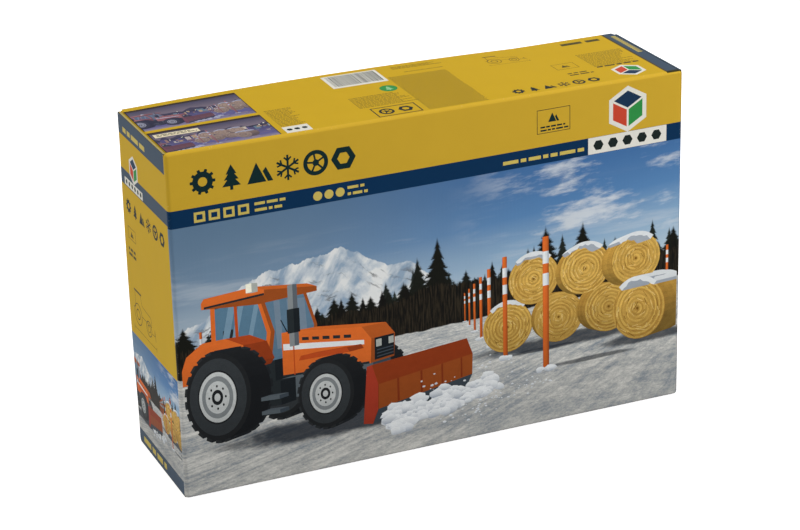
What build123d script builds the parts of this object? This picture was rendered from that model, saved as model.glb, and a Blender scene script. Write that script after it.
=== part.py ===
"""Telescoping carton of a boxed hobby kit, standing on one long wall.

A lid and a tray, each folded from one sheet of micro-fluted board. The printed front is the lid's
large panel. Its four walls cover the tray to the full depth, and at every corner a tab runs on from
a long wall, turns round the corner and is glued to the inside of the end wall.

Frame, in millimetres: X along the long side, Y from the printed front to the tray's back, Z up.
The origin is under the middle of the carton, on the surface that it stands on.
"""

import os

from build123d import *

# Driving dimensions of the carton
carton_length = 425.0
carton_height = 278.0
lid_depth = 113.0
tray_stand_out = 1.0

# The board, and how it folds round the large panel's sides and from a long wall to its tabs
board = 1.5
crease_radius = 2.8
tab_fold_radius = 2.2
edge_setback = 0.6
die_corner_radius = 2.5

# The glued corner tabs
tab_length = 26.0
tab_taper = 5.0
tab_relief_at_crease = 0.4
tab_relief_at_rim = 2.0

# Play between the tray and the lid
side_play = 0.75
seat_gap = 0.3
play_above = 1.2
rim_gap = 0.5

# How far the lid's free edges bulge, and the lengths beside a bulge that stay straight
top_wall_bulge = 2.6
top_bulge_starts = 4.0
top_bulge_ends_before = 88.0
end_wall_bulge = 1.0

# Sizes that follow
total_depth = lid_depth + tray_stand_out
front_y = -total_depth / 2
back_y = total_depth / 2
tray_length = carton_length - 4 * board - 2 * side_play
tray_height = carton_height - 2 * board - seat_gap - play_above
tray_depth = total_depth - board - rim_gap
tray_middle_z = board + seat_gap + tray_height / 2

# Each carton half is built in a frame of its own: x along its length, y along its height, and z
# inwards from the outer face of its large panel. For the lid, x then points to the carton's left.
lid_frame = Plane(origin=(0, front_y, carton_height / 2), x_dir=(-1, 0, 0), z_dir=(0, 1, 0))
tray_frame = Plane(origin=(0, back_y, tray_middle_z), x_dir=(1, 0, 0), z_dir=(0, -1, 0))


def rounded_block(length, height, radius, near, far):
    """A block from z = near to z = far, rounded round its near face and along its corners."""
    block = Box(length, height, far - near, align=(Align.CENTER, Align.CENTER, Align.MIN))
    block = fillet(block.edges().filter_by(Axis.Z), radius)
    block = fillet(block.faces().sort_by(Axis.Z)[0].edges(), radius)
    return Pos(0, 0, near) * block


def creased_panel(length, height):
    """The large panel with the four folds along its sides and its pressed corners."""
    beyond = 4 * crease_radius
    outside = rounded_block(length, height, crease_radius, 0, beyond)
    inside = rounded_block(
        length - 2 * board, height - 2 * board, crease_radius - board, board, beyond
    )
    folds_only = Box(
        length, height, crease_radius, align=(Align.CENTER, Align.CENTER, Align.MIN)
    )
    return (outside - inside) & folds_only


def strip_section(span, straight_before, straight_after, bulge):
    """The board's section across a wall: x along the wall, y outwards, its inner face on y = 0.

    It runs straight, then bulges outwards, then runs straight again. A bulge of 0 keeps the same
    six points along each face, so that sections with and without a bulge join side by side.
    """
    left, right = -span / 2, span / 2
    start, end = left + straight_before, right - straight_after
    middle = (start + end) / 2

    def face_line(y, forwards):
        def bend():
            if bulge == 0:
                return Line((start, y), (end, y))
            return ThreePointArc((start, y), (middle, y + bulge), (end, y))

        pieces = [Line((left, y), (start, y)), bend(), Line((end, y), (right, y))]
        return pieces if forwards else pieces[::-1]

    inner = face_line(0, True)
    outer = face_line(board, False)
    ends = [Line((right, 0), (right, board)), Line((left, board), (left, 0))]
    return make_face(Wire(inner + [ends[0]] + outer + [ends[1]]))


def wall(span, depth, straight_before=0.0, straight_after=0.0, bulge=0.0, corner_radius=0.0):
    """A wall that stands on y = 0, x along it, z from the fold to the free edge, y outwards."""
    near, far = crease_radius, depth
    if bulge == 0:
        plate = Pos(0, 0, near) * Box(
            span, board, far - near, align=(Align.CENTER, Align.MIN, Align.MIN)
        )
    else:
        sections = [
            Pos(0, 0, near) * strip_section(span, straight_before, straight_after, 0.0),
            Pos(0, 0, far) * strip_section(span, straight_before, straight_after, bulge),
        ]
        plate = loft(sections, ruled=True)
    if corner_radius == 0:
        return plate
    # The die rounds the two corners of the free edge.
    outline = Rectangle(span, far, align=(Align.CENTER, Align.MIN))
    outline = fillet(outline.vertices().group_by(Axis.Y)[-1], corner_radius)
    reach = board + bulge
    cutter = extrude(Plane.XZ.offset(-2 * reach) * outline, 3 * reach)
    return plate & cutter


def corner_tab(depth):
    """A tab for the corner at the origin: it leaves a long wall along +x and turns down along -y.

    The corner's fold has its centre at the origin. The long wall ends on x = 0, and the tab's
    outer face then lies on x = tab_fold_radius.
    """
    near = crease_radius + tab_relief_at_crease
    far = depth - tab_relief_at_rim
    ring = Circle(tab_fold_radius) - Circle(tab_fold_radius - board)
    quarter = ring & Rectangle(tab_fold_radius, tab_fold_radius, align=(Align.MIN, Align.MIN))
    fold = Pos(0, 0, near) * extrude(quarter, far - near)
    flap_outline = make_face(
        Polyline(
            (0, near), (0, far), (-tab_length, far - tab_taper), (-tab_length, near + tab_taper),
            close=True,
        )
    )
    # The outline's x is the carton's y, and its y is the depth.
    flap_plane = Plane(origin=(tab_fold_radius - board, 0, 0), x_dir=(0, 1, 0), z_dir=(1, 0, 0))
    flap = extrude(flap_plane * flap_outline, board)
    return fold + flap


def carton_half(length, height, depth, top_bulge=(0.0, 0.0, 0.0), end_bulge=(0.0, 0.0, 0.0)):
    """One half of the carton in its own frame: the panel, four walls and four corner tabs.

    A bulge is how far the free edge stands out, and the straight lengths before and after it.
    """
    long_span = length - 2 * (board + tab_fold_radius)
    end_span = height - 2 * edge_setback
    fold_x, fold_y = long_span / 2, height / 2 - tab_fold_radius
    at_top = Pos(0, height / 2 - board, 0)
    half_turn = Rot(0, 0, 180)
    top_out, top_before, top_after = top_bulge
    end_out, end_before, end_after = end_bulge

    def end_wall():
        standing = wall(end_span, depth, end_before, end_after, end_out, die_corner_radius)
        return Pos(length / 2 - board, 0, 0) * Rot(0, 0, -90) * standing

    tab = Pos(fold_x, fold_y, 0) * corner_tab(depth)
    mirrored_tab = mirror(tab, Plane.YZ)
    return {
        "panel": creased_panel(length, height),
        "top_wall": at_top * wall(long_span, depth, top_before, top_after, top_out),
        "bottom_wall": half_turn * at_top * wall(long_span, depth),
        "plus_wall": end_wall(),
        "minus_wall": half_turn * end_wall(),
        "tab_top_plus": tab,
        "tab_top_minus": mirrored_tab,
        "tab_bottom_minus": half_turn * tab,
        "tab_bottom_plus": half_turn * mirrored_tab,
    }


def named_pieces(half, frame, names):
    """The pieces of one half, moved from its own frame to the carton's and given their names."""
    return {names[key]: frame * piece for key, piece in half.items()}


def side_names(prefix, panel, plus_side, minus_side):
    """Node names, with the words left and right for the ends on each half's own +x and -x."""
    names = {"panel": prefix + panel, "top_wall": prefix + "top_wall"}
    names["bottom_wall"] = prefix + "bottom_wall"
    for end, side in (("plus", plus_side), ("minus", minus_side)):
        names[end + "_wall"] = f"{prefix}{side}_end_wall"
        for level in ("top", "bottom"):
            names[f"tab_{level}_{end}"] = f"{prefix}{level}_{side}_tab"
    return names


def build():
    """Every piece of the carton by its node's name."""
    end_straight = tab_length + tab_fold_radius
    lid = carton_half(
        carton_length,
        carton_height,
        lid_depth,
        top_bulge=(top_wall_bulge, top_bulge_ends_before, top_bulge_starts),
        end_bulge=(end_wall_bulge, end_straight, end_straight),
    )
    tray = carton_half(tray_length, tray_height, tray_depth)
    pieces = named_pieces(lid, lid_frame, side_names("lid_", "front_panel", "left", "right"))
    pieces |= named_pieces(tray, tray_frame, side_names("tray_", "back_panel", "right", "left"))
    return pieces


os.makedirs("parts", exist_ok=True)
for name, piece in build().items():
    export_step(piece, f"parts/{name}.step")
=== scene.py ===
import math
import random
from functools import reduce

import bpy
import numpy as np
from mathutils import Matrix, Vector
from mathutils.bvhtree import BVHTree
from mathutils.geometry import delaunay_2d_cdt


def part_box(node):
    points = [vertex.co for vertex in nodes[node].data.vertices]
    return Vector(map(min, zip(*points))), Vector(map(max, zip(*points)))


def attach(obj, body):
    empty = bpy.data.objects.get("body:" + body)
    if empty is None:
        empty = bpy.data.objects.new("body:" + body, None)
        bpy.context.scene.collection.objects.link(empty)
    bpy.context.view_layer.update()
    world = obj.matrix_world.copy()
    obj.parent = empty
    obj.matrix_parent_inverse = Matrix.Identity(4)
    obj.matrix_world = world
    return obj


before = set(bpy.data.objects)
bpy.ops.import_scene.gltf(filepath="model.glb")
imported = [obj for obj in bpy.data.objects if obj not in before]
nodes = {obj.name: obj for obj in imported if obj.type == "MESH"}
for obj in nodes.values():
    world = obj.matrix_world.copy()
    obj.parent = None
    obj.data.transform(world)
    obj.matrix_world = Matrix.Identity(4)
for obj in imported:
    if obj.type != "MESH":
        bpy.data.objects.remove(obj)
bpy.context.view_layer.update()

MM = 0.001

# Sizes read from the frame, in millimetres
panel_low, panel_high = (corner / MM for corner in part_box("lid_front_panel"))
LENGTH = panel_high.x - panel_low.x
HEIGHT = panel_high.z - panel_low.z
FOLD = panel_high.y - panel_low.y
FRONT_Y = panel_low.y
RIM_Y = (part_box("lid_left_end_wall")[1] / MM).y
DEPTH = RIM_Y - FRONT_Y

# The board's thickness, and the distance from one flute to the next, in millimetres
BOARD = 1.5
FLUTE_PITCH = 3.2

# The photo's view: the camera solved from the carton's corners and edges, with places in metres
FRAME_PX = 800
FOCAL_PX = 2529.2
SENSOR_MM = 36.0
CAMERA_PLACE = Vector((-0.7218, -1.7049, 0.8840))
CAMERA_AZIMUTH = math.radians(-22.736)
CAMERA_ELEVATION = math.radians(22.087)
CAMERA_ROLL = math.radians(-1.581)
NEAREST_SEEN = 0.05
FARTHEST_SEEN = 50

# How the lid's film and its bare side, the tray and the cut edges look: roughness, and the height
# of their relief
FILM_ROUGHNESS = 0.55
BARE_ROUGHNESS = 0.85
RELIEF_MM = 0.25
TRAY_ROUGHNESS = 0.88
TRAY_RELIEF_MM = 0.3
CUT_ROUGHNESS = 0.9
CUT_RELIEF_MM = 0.06


def ink(code):
    """Linear colour of a printed colour, which is written as its sRGB bytes, as 0xRRGGBB."""
    channels = [((code >> shift) & 255) / 255 for shift in (16, 8, 0)]
    return tuple(c / 12.92 if c <= 0.04045 else ((c + 0.055) / 1.055) ** 2.4 for c in channels)


# Painted light: one yellow ink in two copies. The walls' copy has less blue, to offset the pale sheen that
# the walls show when seen at a slant
YELLOW = ink(0xC8A22F)
WALL_YELLOW = ink(0xC8A218)
NAVY = ink(0x042C4E)
SLATE = ink(0x3A4A5B)
TOP_EDGE_DARK = ink(0x14242F)
OLIVE_EDGE = ink(0x2A2913)
OLIVE_BORDER = ink(0x4C3F1C)
DARK_TEXT = ink(0x0C2628)
FLUTE_SHADE = ink(0x3A2E20)


def polar(x, y, radius, angle, squash=1.0):
    """The point of an ellipse round x, y. squash is its height as a share of its width."""
    return x + radius * math.cos(angle), y + squash * radius * math.sin(angle)


def ring_points(x, y, radius, sides):
    return [polar(x, y, radius, 2 * math.pi * k / sides) for k in range(sides)]


def rectangle(left, top, right, bottom):
    return [(left, top), (right, top), (right, bottom), (left, bottom)]


def mixed(first, second, share):
    """A colour between two colours."""
    return tuple(a + (b - a) * share for a, b in zip(first, second))


class Value:
    """What a material's node gives out: a number or a colour. Arithmetic on it adds Math nodes."""

    def __init__(self, paint, node, output=0):
        self.paint, self.socket = paint, node.outputs[output]

    def math(self, operation, *others):
        return self.paint.math(operation, self, *others)

    def smooth(self, low, high, to_low=0.0, to_high=1.0):
        """to_low below low, to_high above high, and a smooth step between them."""
        feeds = {"Value": self, "From Min": low, "From Max": high, "To Min": to_low, "To Max": to_high}
        made = self.paint.node("MapRange", feeds, interpolation_type="SMOOTHSTEP")
        return Value(self.paint, made, "Result")

    def above(self, edge, soft=0.15):
        """1 where it is more than edge, with an edge as soft as printed dots leave it."""
        return (self - edge).smooth(-soft, soft)

    def band(self, low, high, soft=0.15):
        return least(self.above(low, soft), 1 - self.above(high, soft))

    def mix(self, below, above):
        """The colour below where it is 0, and the one above where it is 1."""
        made = self.paint.node(
            "Mix", {"Factor": self, 6: below, 7: above}, data_type="RGBA", clamp_factor=True
        )
        return Value(self.paint, made, 2)

    def times(self, colour):
        """The colour times this number, which leaves no veil on dark inks."""
        made = self.paint.node("VectorMath", {0: colour, "Scale": self}, operation="SCALE")
        return Value(self.paint, made)

    def ramp(self, *stops):
        """A colour for each place along it, from pairs of a place and an ink's code."""
        made = self.paint.node("ValToRGB", {0: self})
        points = made.color_ramp.elements
        while len(points) < len(stops):
            points.new(1)
        for point, (at, code) in zip(points, stops):
            point.position = at
            point.color = (*ink(code), 1)
        return Value(self.paint, made)

    def chance(self, seed):
        """A number from 0 to 1 for each whole number."""
        made = self.paint.node("TexWhiteNoise", noise_dimensions="1D")
        self.paint.feed(made.inputs["W"], self + seed)
        return Value(self.paint, made, "Value")


# The signs +, -, * and / between two Values, or a Value and a number, in either order
for name, kind in (("add", "ADD"), ("sub", "SUBTRACT"), ("mul", "MULTIPLY"), ("truediv", "DIVIDE")):
    setattr(Value, f"__{name}__", lambda a, b, kind=kind: a.paint.math(kind, a, b))
    setattr(Value, f"__r{name}__", lambda b, a, kind=kind: b.paint.math(kind, a, b))


def least(*values):
    return reduce(lambda a, b: a.math("MINIMUM", b), values)


def most(*values):
    return reduce(lambda a, b: a.math("MAXIMUM", b), values)


def noise(x, y, size, detail=3.0, roughness=0.5, seed=0.0):
    """Cloudy noise from 0 to 1. size is a feature's width and height."""
    wide, high = size if isinstance(size, tuple) else (size, size)
    paint = x.paint
    made = paint.node("TexNoise", {"Scale": 1, "Detail": detail, "Roughness": roughness})
    place = paint.node("CombineXYZ", {0: x * (1 / wide), 1: y * (1 / high), 2: seed})
    paint.feed(made.inputs["Vector"], place)
    return Value(paint, made)


class Paint:
    """The nodes of one material, or of the world."""

    def __init__(self, name, world=None):
        self.material = world or bpy.data.materials.new(name)
        self.material.use_nodes = True
        self.tree = self.material.node_tree
        self.tree.nodes.clear()

    def node(self, kind, feeds=None, **settings):
        """Adds a node. feeds has the values of its inputs, by their names or places."""
        made = self.tree.nodes.new("ShaderNode" + kind)
        for name, value in settings.items():
            setattr(made, name, value)
        for place, value in (feeds or {}).items():
            self.feed(made.inputs[place], value)
        return made

    def feed(self, socket, value):
        """Links a Value or a node to the socket, or sets the socket to a constant. A colour is
        three linear numbers or an ink's code."""
        if isinstance(value, bpy.types.Node):
            value = Value(self, value)
        if isinstance(value, Value):
            self.tree.links.new(value.socket, socket)
        elif socket.type == "RGBA":
            socket.default_value = (*(ink(value) if isinstance(value, int) else value), 1)
        else:
            socket.default_value = value

    def math(self, operation, *values):
        return Value(self, self.node("Math", dict(enumerate(values)), operation=operation))

    def split(self, vector):
        made = self.node("SeparateXYZ", {0: vector})
        return [Value(self, made, axis) for axis in range(3)]

    def place(self):
        """x, y and z in the carton's frame, in millimetres."""
        scaled = self.node("VectorMath", {"Scale": 1 / MM}, operation="SCALE")
        self.feed(scaled.inputs[0], Value(self, self.node("TexCoord"), "Object"))
        return self.split(scaled)

    def normal(self):
        return self.split(Value(self, self.node("TexCoord"), "Normal"))

    def board(self, colour, roughness, relief, relief_mm, gloss=0.05):
        """Ends the material: printed or bare board with that relief, which is a number of 0 to 1."""
        bump = self.node("Bump", {"Distance": relief_mm * MM, "Height": relief})
        shader = self.node("BsdfPrincipled", {
            "Base Color": colour, "Roughness": roughness, "Normal": bump, "Specular IOR Level": gloss,
        })
        self.node("OutputMaterial", {0: shader})
        return self.material


# The front's layout, down from the carton's top edge: the navy band, then the picture
BAND_TOP = 44.5
PICTURE_TOP = 58.4

# The front's print isn't level with the carton: it stands this much higher at its right end
PRINT_RISE = 2.45

# The top's navy band: its left side, and how far from the front it ends in a dark line
TOP_BAND_LEFT = 411.4
TOP_BAND_ENDS = 4.4
FOLD_LINE_STARTS = 1.0

# The landscape of the printed pictures, in picture units: x from the left, y down, 425 by 220
PICTURE_HEIGHT = 220.0
HORIZON = 104.0
SNOW_LINE = 119.0
VIEW_MIDDLE = 212

# Rows of conifers from far to near: foot, tallest, pitch, colour
TREE_ROWS = (
    (119.0, 56.0, 15.0, 0x333D38),
    (120.0, 60.0, 19.0, 0x262D27),
    (121.0, 64.0, 24.0, 0x1C2019),
    (122.0, 72.0, 30.0, 0x151710),
    (123.0, 52.0, 18.0, 0x100F0B),
)
WOOD_FLOOR = 123.5

# Shadows on the snow: middle, half width, half height and depth, in picture units
SHADOWS = (
    (132.0, 182.0, 104.0, 11.0, 0.93),
    (332.0, 151.5, 98.0, 6.5, 0.88),
    (396.0, 163.5, 46.0, 5.5, 0.85),
    (303.0, 156.0, 34.0, 1.8, 0.7),
    (346.0, 172.5, 40.0, 2.2, 0.75),
)


def print_rise(across):
    """How far the front's print stands higher than a level print, for a number or a Value."""
    share = across * (1 / LENGTH)
    return share * share * PRINT_RISE


def sky(x, y):
    """Blue that pales towards the horizon, with torn clouds at the right."""
    height = (y + (x - 200) * 0.05).smooth(-15, 112)
    deep = height.ramp((0.0, 0x3B669A), (0.45, 0x5581B0), (0.8, 0x8AAAC6), (1.0, 0xB2C5D2))
    hazy = height.ramp((0.0, 0x5F7A94), (0.45, 0x7790A8), (1.0, 0xB6C3CC))
    blue = x.smooth(40, 330).mix(hazy, deep)
    torn = noise(x + y * 0.8, y, (70, 20), 7, 0.62, seed=3.1)
    reach = x.smooth(215, 330) * y.smooth(96, 55)
    wisps = noise(x - y, y, (120, 14), 5, 0.6, seed=8.4)
    cloud = torn.smooth(0.49, 0.66) * reach
    thin = wisps.smooth(0.5, 0.75) * y.smooth(10, 60) * 0.35
    return most(cloud * 0.85, thin).mix(blue, 0xD3D8DC)


def mountains(x, y, below):
    """Two snowy ranges: a high one left of the middle, and a low one behind it."""
    fine = noise(x, 0.0, 46, 8, 0.56, seed=5.7)
    high = 92 - x.smooth(-40, 120) * x.smooth(250, 130) * 52 - (fine - 0.5) * 46
    low = 98 - (noise(x, 0.0, 60, 7, 0.5, seed=2.2) - 0.42) * 55
    facets = noise(x + (y - high) * 0.55, y - high, (15, 24), 6, 0.58, seed=1.3)
    rocks = noise(x * 0.3 - (y - high), x + (y - high) * 0.5, (4.5, 26), 6, 0.62, seed=9.2)
    snow = facets.ramp((0.38, 0x8FA4B9), (0.5, 0xC3CCD3), (0.6, 0xE3E5E4))
    bare = rocks.smooth(0.56, 0.66) * (y - high).smooth(1, 9) * 0.8
    peak = bare.mix(snow, 0x5F6264)
    with_low = y.above(low, 0.5).mix(below, 0xA9BBCB)
    return y.above(high, 0.4).mix(with_low, peak)


def conifers(x, foot, y, tallest, pitch, seed, ragged):
    """Mask of one row of conifers whose feet are at y = foot."""
    across = x * (1 / pitch) + seed
    cell = across.math("FLOOR")
    shift = (cell.chance(seed) - 0.5) * 0.35
    height = (0.45 + 0.55 * cell.chance(seed + 7.3)) * tallest
    down = (y - foot) / height + 1
    branches = (down * 10 + cell.chance(seed + 3.9)).math("FRACT")
    reach = (down * 1.02 + 0.03) * (0.6 + 0.42 * branches) * (0.35 + 1.2 * ragged)
    off_centre = (across - cell - 0.5 - shift).math("ABSOLUTE")
    return reach.above(off_centre, 0.04)


def forest(x, y, below):
    """A dark wood, tallest right of the middle of the picture."""
    rise = x.smooth(60, 230, 0.66, 1.0) * x.smooth(425, 330, 0.84, 1.0)
    rise = rise * (0.66 + 0.68 * noise(x, 0.0, 48, 3, 0.6, seed=21.0))
    ragged = noise(x, y, (1.0, 1.1), 4, 0.8, seed=4.0)
    streaks = noise(x, y, (2.4, 4.5), 4, 0.7, seed=0.5)
    colour = below
    for row, (foot, tallest, pitch, tone) in enumerate(TREE_ROWS):
        mask = conifers(x, foot, y, rise * tallest, pitch, 11.7 + 23.9 * row, ragged)
        tint = streaks.mix(tone, 0x060605)
        colour = mask.mix(colour, tint)
    thicket = (y + ragged * 9 + streaks * 12).above(WOOD_FLOOR + 9 - rise * 36, 1.5)
    trunks = noise(x, y, (1.3, 16), 3, 0.6, seed=14.0)
    return thicket.mix(colour, trunks.smooth(0.42, 0.62).mix(0x0A0907, 0x2B251B))


def snow_field(x, y, below):
    """Trodden snow, with a ploughed lane and the shadows of what stands on it."""
    near = most(y - HORIZON, 4.0)
    east, north = (x - VIEW_MIDDLE) / near, 300 / near
    lumps = noise(east, north, (0.5, 0.42), 7, 0.62, seed=4.4)
    drifts = noise(east * 0.5 + north, north - east, (0.9, 0.3), 4, 0.55, seed=7.7)
    along, aside = east * 1.46 - north * 1.33, east * 0.88 + north * 2.2
    ruts = noise(along, aside, (0.17, 2.6), 5, 0.64, seed=2.6)
    crumbs = noise(x, y, (2.2, 1.1), 5, 0.82, seed=6.1)
    clods = noise(x + y * 0.6, y, (6.5, 2.4), 5, 0.74, seed=16.3)
    light = lumps * 0.2 + drifts * 0.12 + ruts * 0.26 + crumbs * 0.24 + clods * 0.24
    tone = light.ramp((0.415, 0x76828D), (0.475, 0x989EA2), (0.528, 0xB4B5B2), (0.605, 0xDAD9D3))
    tone = y.smooth(SNOW_LINE, 200, 1.05, 0.84).times(tone)
    wobble = noise(x, y, (14, 6), 3, 0.6, seed=3.3) - 0.5
    for middle_x, middle_y, wide, high, depth in SHADOWS:
        away_x = (x - middle_x) / wide
        away_y = (y - middle_y) / high
        away = away_x * away_x + away_y * away_y + wobble * 0.9
        tone = (away.smooth(1.25, 0.35) * depth).mix(tone, 0x1D242E)
    edge = SNOW_LINE + (noise(x, 0.0, 30, 3, 0.5, seed=2.9) - 0.5) * 7 - (x - VIEW_MIDDLE) * 0.012
    return y.above(edge, 0.5).mix(below, tone)


def landscape(x, y):
    """The whole view, from the sky down."""
    return snow_field(x, y, forest(x, y, mountains(x, y, sky(x, y))))


def flute_wave(across):
    return (across * (2 * math.pi / FLUTE_PITCH)).math("SINE")


def laminate_relief(across, along):
    """Faint hills of the board and of its flutes under a smooth film, from 0 to 1."""
    hills = noise(across, along, 38, 2, 0.5, seed=1.9)
    flutes = flute_wave(across) * 0.02
    fibres = noise(across, along, 0.5, 3, 0.6, seed=3.3) * 0.03
    return hills + flutes + fibres


def ink_wear(colour, across, along, edge_distance):
    """Uneven ink, and pale rubbed board where a fold or an edge is near."""
    cloudy = noise(across, along, 26, 4, 0.6, seed=12.0)
    dots = noise(across, along, 0.7, 2, 0.7, seed=13.0)
    uneven = (0.94 + cloudy * 0.06 + dots * 0.06).times(colour)
    scuffs = noise(across, along, (1.6, 1.6), 5, 0.75, seed=15.0)
    rubbed = edge_distance.smooth(2.4, 0.3) * scuffs.smooth(0.6, 0.72)
    return (rubbed * 0.55).mix(uneven, 0xE4D6B4)


def bare_board(across, along):
    """Grey-brown liner with specks and faint flute shadows."""
    specks = noise(across, along, (0.9, 2.2), 4, 0.75, seed=5.0)
    cloudy = noise(across, along, 45, 4, 0.6, seed=6.0)
    lines = flute_wave(across) * 0.5 + 0.5
    tone = specks * 0.45 + cloudy * 0.18 + lines * 0.14 + 0.09
    return tone.ramp((0.3, 0x8C7350), (0.5, 0xAE9469), (0.65, 0xC2AA80))


def outer_mask(paint, direction):
    """1 on the printed side, which faces along direction, and 0 on the bare side and the cut edges.

    A tab's printed side faces up in the carton's upper half, and down in its lower half.
    """
    if direction == "tab":
        signed = paint.normal()[2] * (paint.place()[2] - HEIGHT / 2) * (2 / HEIGHT)
    else:
        signed = paint.normal()["xyz".index(direction[-1])] * (1 if direction[0] == "+" else -1)
    return signed.smooth(0.3, 0.45)


def film_roughness(printed):
    return printed.smooth(0, 1, BARE_ROUGHNESS, FILM_ROUGHNESS)


def front_material():
    """The lid's large panel: a yellow band, a navy band and the landscape, which wraps the folds."""
    paint = Paint("printed_front")
    x, y, z = paint.place()
    across, down = x + LENGTH / 2, HEIGHT - z
    on_print = down + print_rise(across)
    colour = landscape(across, on_print - PICTURE_TOP)
    colour = on_print.above(PICTURE_TOP).mix(NAVY, colour)
    colour = on_print.above(BAND_TOP).mix(YELLOW, colour)
    edge = least(across, LENGTH - across, down, HEIGHT - down)
    colour = ink_wear(colour, across, down, edge)
    normal_x, normal_y, normal_z = paint.normal()
    on_fold = normal_z.above(0.3, 0.2) * (y - FRONT_Y).above(FOLD_LINE_STARTS, 0.3)
    colour = (on_fold * across.above(TOP_BAND_LEFT)).mix(colour, OLIVE_EDGE)
    # Painted light and shade on the folds: the right and the lower fold are darkened, and the upper fold is
    # brightened
    colour = normal_x.smooth(0.1, 0.5, 1.0, 0.62).times(colour)
    colour = normal_z.smooth(-0.1, -0.6, 1.0, 0.84).times(colour)
    colour = normal_z.smooth(0.1, 0.45, 1.0, 1.14).times(colour)
    outward = normal_x * x + normal_y * y + normal_z * (z - HEIGHT / 2)
    printed = outward.smooth(-1, 1)
    colour = printed.mix(bare_board(across, down), colour)
    return paint.board(colour, film_roughness(printed), laminate_relief(across, down), RELIEF_MM)


def cut_shade(paint, liner, outer_axis):
    """The bare board's colour, and the shade between the liners where a wall was cut."""
    facing = [part.math("ABSOLUTE") for part, axis in zip(paint.normal(), "xyz")
              if axis != outer_axis and (axis == "y" or outer_axis == "x")]
    return most(*facing).smooth(0.5, 0.8).mix(liner, FLUTE_SHADE)


def wall_material(name, direction, design):
    """A lid wall: its printed outer side, its bare inner side and its cut edges."""
    paint = Paint(name)
    x, y, z = paint.place()
    inwards = y - FRONT_Y
    is_end = direction[-1] == "x"
    across = HEIGHT - z if is_end else x + LENGTH / 2
    colour, edge = design(across, inwards)
    colour = ink_wear(colour, across, inwards, edge)
    printed = outer_mask(paint, direction)
    fluted, along = (inwards, across) if is_end else (across, inwards)
    inside = cut_shade(paint, bare_board(fluted, along), direction[-1])
    colour = printed.mix(inside, colour)
    return paint.board(colour, film_roughness(printed), laminate_relief(fluted, along), RELIEF_MM)


def top_design(across, inwards):
    """Yellow, with a navy band at the right end. The band's border is brown, and its end dark."""
    in_band = across.above(TOP_BAND_LEFT)
    colour = in_band.mix(WALL_YELLOW, SLATE)
    border = across.band(TOP_BAND_LEFT - 0.3, TOP_BAND_LEFT + 1.3, 0.5)
    colour = border.mix(colour, OLIVE_BORDER)
    band_end = inwards.smooth(TOP_BAND_ENDS + 0.4, TOP_BAND_ENDS - 0.4)
    colour = (in_band * band_end).mix(colour, OLIVE_EDGE)
    return colour, least(DEPTH - inwards, inwards)


def plain_design(across, inwards):
    return WALL_YELLOW, least(DEPTH - inwards, inwards)


# The end walls, down from the top: navy bands and the picture, and the picture's left end. Beside
# the fold, a strip of the front's print wraps on to the wall
END_BANDS = ((1.0, 17.0), (44.6, 56.9), (265.0, 279.0))
END_PICTURE = (181.4, 265.0)
END_VIEW_LEFT = 75.0
WRAP = 4.0
RIM_MARGIN = 0.4


def end_design(down, inwards, from_left, front_x, rise):
    """Yellow with three navy bands and a small landscape.

    from_left is the distance from the wall's left side, and front_x and rise say where the front's
    print goes on. One landscape serves both pictures, because a graph with two of them is too large
    for the renderer.
    """
    unit = PICTURE_HEIGHT / (END_PICTURE[1] - END_PICTURE[0])
    band_top, picture_top = BAND_TOP - rise, PICTURE_TOP - rise
    wrapped = inwards.math("LESS_THAN", WRAP)
    own = 1 - wrapped
    view_x = front_x * wrapped + (from_left * unit + END_VIEW_LEFT) * own
    view_y = (down - picture_top) * wrapped + (down - END_PICTURE[0]) * unit * own
    view = landscape(view_x, view_y)
    in_view = most(down.band(*END_PICTURE) * own, down.above(picture_top) * wrapped)
    colour = in_view.mix(WALL_YELLOW, view)
    bands = most(*(down.band(low, high) for low, high in END_BANDS))
    colour = (bands * own).mix(colour, SLATE)
    # Darker along the wall's top 1.3 mm, next to its upper edge
    colour = (down.band(0.0, 1.3, 0.3) * 0.85).mix(colour, TOP_EDGE_DARK)
    colour = (down.band(band_top, picture_top) * wrapped).mix(colour, NAVY)
    return colour, least(DEPTH - inwards, inwards, down, HEIGHT - down)


def left_end_design(down, inwards):
    return end_design(down, inwards, DEPTH - inwards, 0.0 - inwards, 0.0)


def right_end_design(down, inwards):
    return end_design(down, inwards, inwards, inwards + LENGTH, PRINT_RISE)


def bare_material(name, outer_axis):
    """The tray's unprinted board. Its flutes show as faint lines, which turn with the folds."""
    paint = Paint(name)
    x, y, z = paint.place()
    across, along = {"x": (y, z), "y": (x, z), "z": (x, y)}.get(outer_axis, (x + z, y))
    colour = bare_board(across, along)
    if outer_axis in ("x", "z"):
        colour = cut_shade(paint, colour, outer_axis)
    return paint.board(colour, TRAY_ROUGHNESS, laminate_relief(across, along), TRAY_RELIEF_MM)


def cut_material(name, *tones):
    """Torn paper fibres of a cut edge, or the wrinkled film that closes over one."""
    paint = Paint(name)
    x, y, z = paint.place()
    fibres = noise(x + z, y + z, 0.35, 3, 0.7, seed=41.0)
    broad = noise(x + z, y, 11, 3, 0.6, seed=42.0)
    tone = (fibres * 0.6 + broad * 0.4).ramp(*zip((0.35, 0.5, 0.65), tones))
    return paint.board(tone, CUT_ROUGHNESS, fibres, CUT_RELIEF_MM)


def marks_material():
    """Ink on the film, in the colours of the sheet."""
    paint = Paint("printed_marks")
    x, y, z = paint.place()
    across, down = x + y, z + y * 0.5
    made = paint.node("Attribute", attribute_name="ink")
    inks, roughness = Value(paint, made, "Color"), Value(paint, made, "Alpha")
    grain = noise(across, down, (0.8, 0.8), 5, 0.8, seed=31.0) - 0.5
    broad = noise(across, down, (7, 5), 4, 0.6, seed=33.0) - 0.5
    depth = roughness * 2.2 + 0.16
    colour = (1.0 + grain * depth + broad * (roughness * 0.9 + 0.1)).times(inks)
    return paint.board(colour, FILM_ROUGHNESS, laminate_relief(across, down), RELIEF_MM)


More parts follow.
